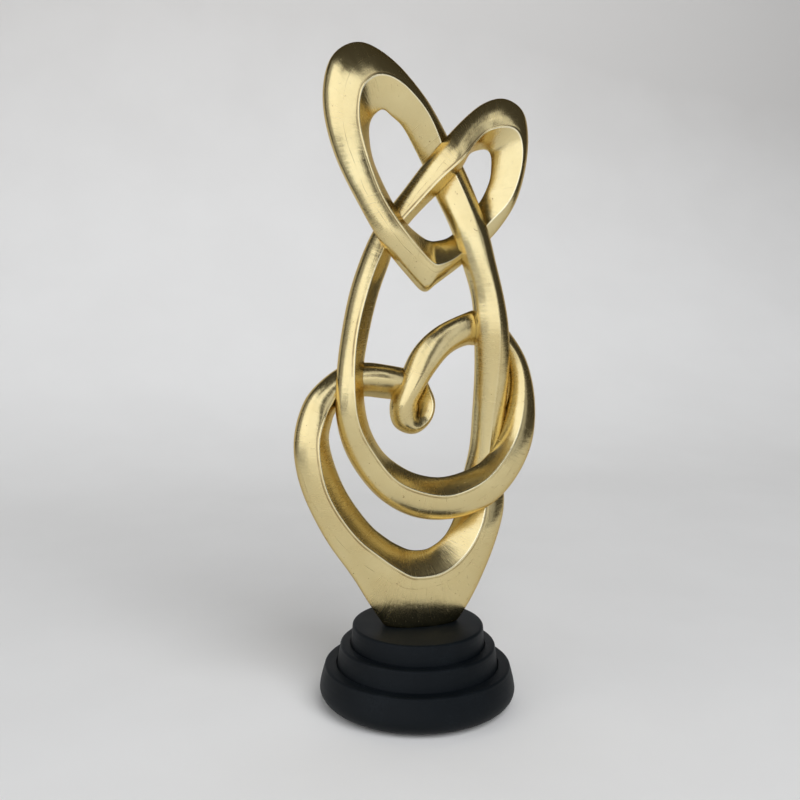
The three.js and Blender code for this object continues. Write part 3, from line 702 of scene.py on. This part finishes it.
class Nodes:
    """The nodes of a material or world, with short ways to add and join them."""

    def __init__(self, owner):
        owner.use_nodes = True
        self.owner, self.tree = owner, owner.node_tree

    def feed(self, node, inputs):
        """Sets a node's inputs by name or number: a link where a value varies, or a plain value."""
        for key, value in dict(inputs).items():
            if isinstance(value, bpy.types.NodeSocket):
                self.tree.links.new(value, node.inputs[key])
            else:
                node.inputs[key].default_value = value

    def node(self, kind, inputs=(), **settings):
        """A new node with its settings and inputs."""
        made = self.tree.nodes.new(kind)
        for key, value in settings.items():
            setattr(made, key, value)
        self.feed(made, inputs)
        return made

    def place(self, scale=(1, 1, 1), turn=(0, 0, 0), uv_map=None):
        """A piece's own coordinates or one of its UV maps, stretched and turned for a pattern."""
        if uv_map is None:
            source = self.node("ShaderNodeTexCoord").outputs["Object"]
        else:
            source = self.node("ShaderNodeUVMap", uv_map=uv_map).outputs["UV"]
        inputs = {"Vector": source, "Scale": scale, "Rotation": turn}
        return self.node("ShaderNodeMapping", inputs).outputs["Vector"]

    def noise(self, scale, detail=3, roughness=0.6, distortion=0.0, vector=None):
        """A cloudy value about one half, in the piece's own coordinates if no others are given."""
        return self.node("ShaderNodeTexNoise", {
            "Vector": self.place() if vector is None else vector, "Scale": scale,
            "Detail": detail, "Roughness": roughness, "Distortion": distortion,
        }).outputs["Fac"]

    def span(self, value, low, high, to_low=0.0, to_high=1.0):
        """A value brought from one range to another and held inside it."""
        return self.node("ShaderNodeMapRange", {
            "Value": value, "From Min": low, "From Max": high, "To Min": to_low, "To Max": to_high,
        }).outputs["Result"]

    def maths(self, operation, first, second):
        """Two values, linked or plain, joined by an operation."""
        made = self.node("ShaderNodeMath", {0: first, 1: second}, operation=operation)
        return made.outputs["Value"]

    def mix(self, share, first, second):
        """Two colours, linked or plain, mixed by a share."""
        inputs = {"Factor": share}
        for key, value in ((MIX_FIRST, first), (MIX_SECOND, second)):
            inputs[key] = value if isinstance(value, bpy.types.NodeSocket) else (*value, 1)
        return self.node("ShaderNodeMix", inputs, data_type="RGBA").outputs[MIX_RESULT]

    def bump(self, height, strength, distance, before=None):
        """A normal that follows a height, over the normal of a bump before it."""
        inputs = {"Height": height, "Strength": strength, "Distance": distance}
        if before is not None:
            inputs["Normal"] = before
        return self.node("ShaderNodeBump", inputs).outputs["Normal"]

    def to_shader(self, **values):
        """Sets the shader's inputs and hands over the material."""
        inputs = {key.replace("_", " "): value for key, value in values.items()}
        self.feed(self.tree.nodes["Principled BSDF"], inputs)
        return self.owner


def gold_leaf(colours):
    """Gold leaf laid in small sheets: slight steps of tone between sheets, thin broken seams, fine
    wrinkles across and along the strand, specks where the ground shows, a painted highlight along
    the ridge and patches of painted shade in the groove beside it."""
    made = Nodes(bpy.data.materials.new("gold_leaf"))
    sheet_map = made.place(scale=(10, 10, 10), turn=(0, 0, 0.06), uv_map=STRAND_MAP)
    wander = made.noise(scale=3.0, roughness=0.55, vector=sheet_map)
    shifted = made.node("ShaderNodeVectorMath", {0: wander, 1: (0.06, 0.05, 0.0), 2: sheet_map},
                        operation="MULTIPLY_ADD")
    sheets = made.node("ShaderNodeTexBrick", {
        "Vector": shifted.outputs["Vector"], "Scale": 1, "Color1": (0, 0, 0, 1),
        "Color2": (1, 1, 1, 1), "Mortar": (0.5, 0.5, 0.5, 1), "Mortar Size": 0.0016,
        "Mortar Smooth": 0.6, "Brick Width": 0.82, "Row Height": 0.47,
    }, offset=0.37)
    cloud = made.noise(scale=26, detail=4)
    across = made.noise(scale=1.0, detail=5, roughness=0.65, distortion=0.5,
                        vector=made.place(scale=(620, 64, 1), uv_map=STRAND_MAP))
    along = made.noise(scale=1.0, detail=4, distortion=0.3,
                       vector=made.place(scale=(40, 520, 1), uv_map=STRAND_MAP))
    grain = made.noise(scale=1500)
    speck = made.span(made.noise(scale=520, detail=2, roughness=0.5), 0.70, 0.76)
    seam_break = made.span(made.noise(scale=120, roughness=0.55), 0.46, 0.62)
    seam = made.maths("MULTIPLY", sheets.outputs["Fac"], seam_break)
    tone = made.maths("MULTIPLY", sheets.outputs["Color"], 0.35)
    tone = made.maths("ADD", tone, made.span(cloud, 0.35, 0.7, 0.0, 0.65))
    leaf = made.mix(tone, colours.leaf_pale, colours.leaf_warm)
    bead_map = made.node("ShaderNodeUVMap", uv_map=BEAD_MAP).outputs["UV"]
    ridge = made.node("ShaderNodeSeparateXYZ", {"Vector": bead_map}).outputs["X"]
    # Painted highlight: the leaf turns paler on the ridge's bead
    leaf = made.mix(made.span(ridge, 0.25, 0.9, 0.0, 0.8), leaf, colours.leaf_ridge_highlight)
    # Painted shade: patches darkened in the groove just outside the ridge's bead
    darkened = made.maths("MULTIPLY", made.span(ridge, -0.40, -0.10, 0.7, 0.0),
                       made.span(cloud, 0.42, 0.62))
    wear_and_shade = made.maths("MAXIMUM", made.maths("MULTIPLY", seam, 0.6),
                      made.maths("MULTIPLY", speck, 0.5))
    # The groove's painted shade joins the seams and specks where the ground shows
    wear_and_shade = made.maths("MAXIMUM", wear_and_shade, darkened)
    rough = made.span(cloud, 0.3, 0.75, 0.17, 0.27)
    rough = made.maths("ADD", rough, made.span(across, 0.45, 0.8, 0.0, 0.10))
    rough = made.maths("ADD", rough, made.maths("MULTIPLY", wear_and_shade, 0.3))
    normal = made.bump(across, strength=0.6, distance=0.13 * MM)
    normal = made.bump(along, strength=0.35, distance=0.09 * MM, before=normal)
    normal = made.bump(cloud, strength=0.35, distance=1.2 * MM, before=normal)
    normal = made.bump(grain, strength=0.10, distance=0.03 * MM, before=normal)
    return made.to_shader(Base_Color=made.mix(wear_and_shade, leaf, colours.leaf_ground_and_shade), Metallic=1.0,
                          Roughness=rough, Normal=normal, Specular_Tint=(0.75, 0.60, 0.38, 1))


def black_lacquer(colours):
    """Satin lacquer on turned wood: faint rings from the turning, a little dust and rubbing."""
    made = Nodes(bpy.data.materials.new("black_lacquer"))
    turning = made.place(scale=(14, 14, 900))
    rings = made.noise(scale=1.0, roughness=0.5, vector=turning)
    cloud = made.noise(scale=38, detail=4)
    peel = made.noise(scale=900, detail=2, roughness=0.5)
    dust = made.maths("MULTIPLY", made.span(cloud, 0.45, 0.75), made.span(peel, 0.35, 0.75))
    rough = made.maths("ADD", made.span(cloud, 0.3, 0.7, 0.44, 0.54),
                       made.span(rings, 0.3, 0.7, 0, 0.06))
    normal = made.bump(rings, strength=0.12, distance=0.05 * MM)
    normal = made.bump(peel, strength=0.10, distance=0.04 * MM, before=normal)
    return made.to_shader(Base_Color=made.mix(dust, colours.lacquer, colours.lacquer_dusty),
                          Roughness=rough, Normal=normal, Specular_IOR_Level=0.13)


def pressed_felt(colours):
    """Felt: tangled fibres with lighter fuzz."""
    made = Nodes(bpy.data.materials.new("pressed_felt"))
    fibres = made.noise(scale=1400, detail=5, roughness=0.7, distortion=1.2)
    tufts = made.noise(scale=260)
    share = made.maths("MULTIPLY", made.span(fibres, 0.4, 0.7), made.span(tufts, 0.3, 0.7))
    return made.to_shader(Base_Color=made.mix(share, colours.felt, colours.felt_fuzz),
                          Roughness=made.span(tufts, 0.3, 0.7, 0.85, 0.98),
                          Normal=made.bump(fibres, strength=0.6, distance=0.2 * MM),
                          Specular_IOR_Level=0.2)


def plated_steel(colours):
    """Zinc-plated steel: drawn lines and a patchy dull bloom."""
    made = Nodes(bpy.data.materials.new("plated_steel"))
    drawn = made.place(scale=(700, 700, 60))
    lines = made.noise(scale=1.0, vector=drawn)
    bloom = made.noise(scale=180)
    return made.to_shader(
        Base_Color=made.mix(made.span(bloom, 0.35, 0.7), colours.steel, colours.steel_dull),
        Metallic=1.0, Roughness=made.span(lines, 0.3, 0.7, 0.28, 0.46),
        Normal=made.bump(lines, strength=0.15, distance=0.03 * MM))


def backdrop_paper(colours):
    """Matt paper with a faint mottle, and painted shade: darker up the wall and in its far corner.
    """
    made = Nodes(bpy.data.materials.new("backdrop_paper"))
    mottle = made.noise(scale=9, roughness=0.5)
    place = made.node("ShaderNodeSeparateXYZ", {"Vector": made.place()}).outputs
    # Painted shade: the paper darkens up the wall, and more in its far corner on the right
    corner = made.maths("MULTIPLY", made.span(place["X"], 0.3, 1.2),
                        made.span(place["Z"], 0.2, 0.62))
    share = made.maths("ADD", made.span(place["Z"], 0.08, 0.62),
                       made.maths("MULTIPLY", corner, 0.5))
    share = made.maths("ADD", share, made.span(mottle, 0.35, 0.65, 0.0, 0.08))
    return made.to_shader(Base_Color=made.mix(share, colours.paper, colours.paper_painted_shade),
                          Roughness=0.9, Specular_IOR_Level=0.2)


# Operators


class SCULPTURE_OT_castings(Operator):
    """Make the seven gilded castings of the woven ribbon"""

    bl_idname = "sculpture.castings"
    bl_label = "Gilded castings"

    def execute(self, context):
        settings = context.scene.sculpture
        ribbon = settings.ribbon
        leaf = gold_leaf(settings.finish)
        for name in STRETCHES:
            rings, beads = casting_rings(name, ribbon)
            title = "gilded_" + name
            piece = place_object(title, tube_mesh(title, rings, ridge_point(ribbon), beads))
            fronts, pins = HOLLOWS[name]
            tools = [front_tool(front, ribbon) for front in fronts]
            tools += [pin_tool(pin, ribbon) for pin in pins]
            hollow(piece, tools)
            shade(piece.data, CASTING_SHARP)
            finish_piece(piece, leaf, "gilding", name)
        return {"FINISHED"}


class SCULPTURE_OT_discs(Operator):
    """Make the three turned and lacquered discs of the plinth"""

    bl_idname = "sculpture.discs"
    bl_label = "Plinth discs"

    def execute(self, context):
        settings = context.scene.sculpture
        lacquer = black_lacquer(settings.finish)
        for name, outline in disc_outlines(settings.plinth).items():
            title = name.replace("plinth", "lacquered")
            piece = turned_piece(title, outline, settings.plinth.around)
            if name == "plinth_upper_disc":
                hollow(piece, [pin_tool("turn_pin", settings.ribbon)])
            shade(piece.data, TURNED_SHARP)
            finish_piece(piece, lacquer, "black_lacquer", name)
        return {"FINISHED"}


class SCULPTURE_OT_felt(Operator):
    """Make the felt disc under the plinth"""

    bl_idname = "sculpture.felt"
    bl_label = "Felt pad"

    def execute(self, context):
        settings = context.scene.sculpture
        low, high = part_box("felt_pad")
        rim = rounded_rim(high.x, high.z, FELT_ROUNDING, FELT_STEPS)
        foot = [[FELT_CORE, low.z], [high.x - FELT_INSET, low.z]]
        outline = np.vstack([foot, rim, [[FELT_CORE, high.z]]])
        piece = turned_piece("felt_disc", outline, settings.plinth.around)
        shade(piece.data, TURNED_SHARP)
        finish_piece(piece, pressed_felt(settings.finish), "felt", "felt_pad")
        return {"FINISHED"}


class SCULPTURE_OT_hardware(Operator):
    """Finish the stud, washer, nut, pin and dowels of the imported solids"""

    bl_idname = "sculpture.hardware"
    bl_label = "Steel hardware"

    def execute(self, context):
        steel = plated_steel(context.scene.sculpture.finish)
        for name in STEEL_NODES:
            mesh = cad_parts[name].data
            mesh.materials.clear()
            mesh.materials.append(steel)
        return {"FINISHED"}


def sweep_mesh(name):
    """Backdrop paper: a flat floor, a quarter circle and an upright wall, carried along X. Past
    the depth where the fan starts, the sides spread in step with the depth."""
    (front, back), bend = PAPER_DEPTHS, PAPER_BEND
    angle = np.linspace(0, math.pi / 2, BEND_STEPS)
    bow = np.stack([back - bend + bend * np.sin(angle), bend - bend * np.cos(angle)], 1)
    profile = np.vstack([[[front, 0], [PAPER_FAN, 0]], bow, [[back, PAPER_HEIGHT]]])
    points = np.stack([
        np.array(PAPER_SIDES)[:, None] * np.maximum(profile[:, 0] / PAPER_FAN, 1),
        np.broadcast_to(profile[:, 0], (2, len(profile))),
        np.broadcast_to(profile[:, 1], (2, len(profile))),
    ], -1).reshape(-1, 3)
    j = np.arange(len(profile) - 1)
    quads = np.stack([j, j + len(profile), j + 1 + len(profile), j + 1], 1)
    mesh = bpy.data.meshes.new(name)
    mesh.from_pydata(points, [], quads.tolist())
    shade(mesh, PAPER_SHARP)
    return mesh


def panel_light(name, place, target, size, power):
    """A flat soft light that faces a target and isn't seen itself."""
    light = bpy.data.lights.new(name, "AREA")
    light.shape = "RECTANGLE"
    light.size, light.size_y = size
    light.energy = power
    light.color = LIGHT_TINT
    lamp = place_object(name, light)
    lamp.visible_camera = False
    aim = Vector(target) - Vector(place)
    facing = aim.to_track_quat("-Z", "Y").to_matrix().to_4x4()
    lamp.matrix_world = Matrix.Translation(place) @ facing
    return lamp


def screen_light(name, distance, heading, span, low, high, brightness):
    """An upright soft light that faces the axis. Its power is pi times its area and brightness."""
    turn = math.radians(heading)
    middle = (low + high) / 2
    width = 2 * distance * math.tan(math.radians(span) / 2)
    place = (distance * math.sin(turn), -distance * math.cos(turn), middle)
    power = math.pi * width * (high - low) * brightness
    return panel_light(name, place, (0, 0, middle), (width, high - low), power)


class SCULPTURE_OT_stage(Operator):
    """Set the backdrop, the lights and the camera"""

    bl_idname = "sculpture.stage"
    bl_label = "Stage"

    def execute(self, context):
        scene = context.scene
        stage = scene.sculpture.stage
        paper = place_object("backdrop", sweep_mesh("backdrop"))
        paper.data.materials.append(backdrop_paper(scene.sculpture.finish))
        for name, row in SCREENS.items():
            screen_light(name, stage.screens, *row)
        for name, (place, target, size) in PANELS.items():
            lamp = panel_light(name, place, target, size, getattr(stage, name))
            lamp.visible_glossy = False
        self.set_surround(scene, stage)
        self.set_camera(scene, stage)
        scene.view_settings.view_transform = "Standard"
        return {"FINISHED"}

    def set_surround(self, scene, stage):
        """A dim room in the light, and a pale plain ground where a view looks past the paper."""
        scene.world = bpy.data.worlds.new("room")
        made = Nodes(scene.world)
        dim, output = (made.tree.nodes[name] for name in ("Background", "World Output"))
        made.feed(dim, {"Color": (*stage.room, 1), "Strength": stage.surround})
        pale = made.node("ShaderNodeBackground", {"Color": (*stage.ground, 1)})
        path = made.node("ShaderNodeLightPath")
        either = made.node("ShaderNodeMixShader", {
            "Fac": path.outputs["Is Camera Ray"],
            1: dim.outputs["Background"], 2: pale.outputs["Background"],
        })
        made.feed(output, {"Surface": either.outputs["Shader"]})

    def set_camera(self, scene, stage):
        """The camera, level and facing +Y at first, is turned by heading, pitch and roll."""
        camera = place_object("camera", bpy.data.cameras.new("camera"))
        camera.data.lens = stage.lens
        camera.data.sensor_width = SENSOR_WIDTH
        camera.data.clip_start = NEAR_LIMIT
        camera.matrix_world = (Matrix.Translation(stage.camera_place)
                               @ Matrix.Rotation(-stage.heading, 4, "Z")
                               @ Matrix.Rotation(math.pi / 2 - stage.pitch, 4, "X")
                               @ Matrix.Rotation(stage.roll, 4, "Z"))
        scene.camera = camera


class SCULPTURE_PT_panel(Panel):
    """Lists the sculpture's sizes, finishes and steps"""

    bl_idname = "SCULPTURE_PT_panel"
    bl_label = "Heart sculpture"
    bl_space_type = "VIEW_3D"
    bl_region_type = "UI"
    bl_category = "Sculpture"

    def draw(self, context):
        """A button for each step, and a box for each group of settings."""
        for step in STEPS:
            self.layout.operator(step.bl_idname)
        for group in SculptureSettings.__annotations__:
            box = self.layout.box()
            box.label(text=group.title())
            settings = getattr(context.scene.sculpture, group)
            for key in settings.__annotations__:
                box.prop(settings, key)


STEPS = (SCULPTURE_OT_castings, SCULPTURE_OT_discs, SCULPTURE_OT_felt, SCULPTURE_OT_hardware,
         SCULPTURE_OT_stage)
CLASSES = (RibbonSettings, PlinthSettings, FinishSettings, StageSettings, SculptureSettings,
           *STEPS, SCULPTURE_PT_panel)


def register():
    """Makes the settings, the steps and the panel known."""
    for made in CLASSES:
        bpy.utils.register_class(made)
    bpy.types.Scene.sculpture = PointerProperty(type=SculptureSettings)


def unregister():
    """Takes them out again."""
    del bpy.types.Scene.sculpture
    for made in reversed(CLASSES):
        bpy.utils.unregister_class(made)


def main():
    """Makes every piece and the stage."""
    register()
    bpy.ops.sculpture.castings()
    bpy.ops.sculpture.discs()
    bpy.ops.sculpture.felt()
    bpy.ops.sculpture.hardware()
    bpy.ops.sculpture.stage()


if __name__ == "__main__":
    main()
